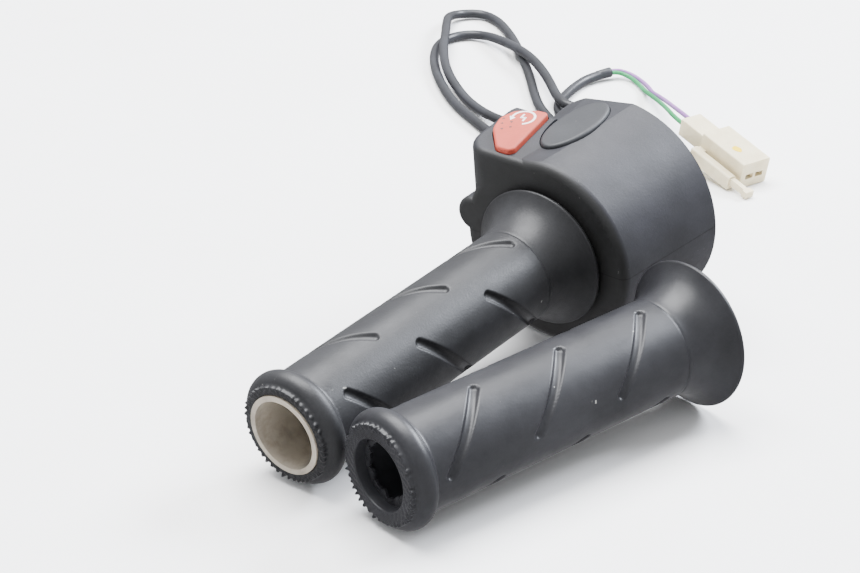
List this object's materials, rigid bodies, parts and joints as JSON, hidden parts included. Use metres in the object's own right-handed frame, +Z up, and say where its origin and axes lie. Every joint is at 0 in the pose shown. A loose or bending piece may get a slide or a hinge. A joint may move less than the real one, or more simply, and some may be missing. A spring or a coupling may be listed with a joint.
{
  "type": "throttle grip",
  "caption": "Motorcycle twist throttle: flanged rubber grip on a tube, clamp-on drum housing with a push button and a wired plug, and a matching loose grip for the other hand.",
  "frame": {"origin": "centre of the base rectangle of the grips and the housing, on the surface that they rest on; the loom, its grommet and its plug are left out", "axes": "+X from the throttle grip's open end towards the housing, in plan along the handlebar axis, which rises 6.25 degrees; +Y towards the rider; +Z up from the surface"},
  "size_m": [0.3685, 0.3085, 0.0729],
  "materials": {
    "housing_plastic": "fine moulded grain, matte",
    "cap_plastic": "fine moulded grain, matte",
    "grip_rubber": "worn satin",
    "left_grip_rubber": "worn satin",
    "button_plastic": "faded, matte",
    "tube_nylon": "dirty natural nylon",
    "screw_steel": "zinc plated",
    "spring_steel": "bright",
    "contact_brass": "dull",
    "switch_plastic": "matte",
    "grommet_rubber": "matte",
    "sleeve_vinyl": "soft satin",
    "lead_insulation": "satin",
    "green_insulation": "satin",
    "purple_insulation": "satin",
    "connector_nylon": "milky, satin"
  },
  "bodies": {
    "housing": {"upper_housing": "housing_plastic", "lower_housing": "housing_plastic", "housing_screws": "screw_steel", "grub_screw": "screw_steel", "switch_body": "switch_plastic", "switch_screw": "screw_steel", "fixed_contacts": "contact_brass", "button_spring": "spring_steel", "switch_leads": "lead_insulation", "blanking_cap": "cap_plastic", "loom_grommet": "grommet_rubber", "loom_sleeve": "sleeve_vinyl", "green_wire": "green_insulation", "purple_wire": "purple_insulation", "connector_housing": "connector_nylon", "connector_terminals": "contact_brass"},
    "throttle": {"throttle_tube": "tube_nylon", "right_grip_rubber": "grip_rubber"},
    "button": {"start_button": "button_plastic", "contact_bridge": "contact_brass"},
    "left_grip": {"left_grip_rubber": "left_grip_rubber"}
  },
  "joints": [
    {"name": "throttle_twist", "type": "hinge", "parent": "housing", "child": "throttle", "pos_m": [-0.0221, 0.02353, 0.02487], "axis": [-0.9941, 0, -0.1088], "range_deg": [0, 75]},
    {"name": "start_button_press", "type": "slide", "parent": "housing", "child": "button", "axis": [0.2072, 0, -0.9783], "range_m": [0, 0.0025], "stiffness_N_per_m": 600, "springref_m": -0.002, "deforming": ["button_spring"]},
    {"name": "left_grip_lift", "type": "slide", "parent": "housing", "child": "left_grip", "axis": [0, 0, 1], "range_m": [0, 0.08]}
  ]
}
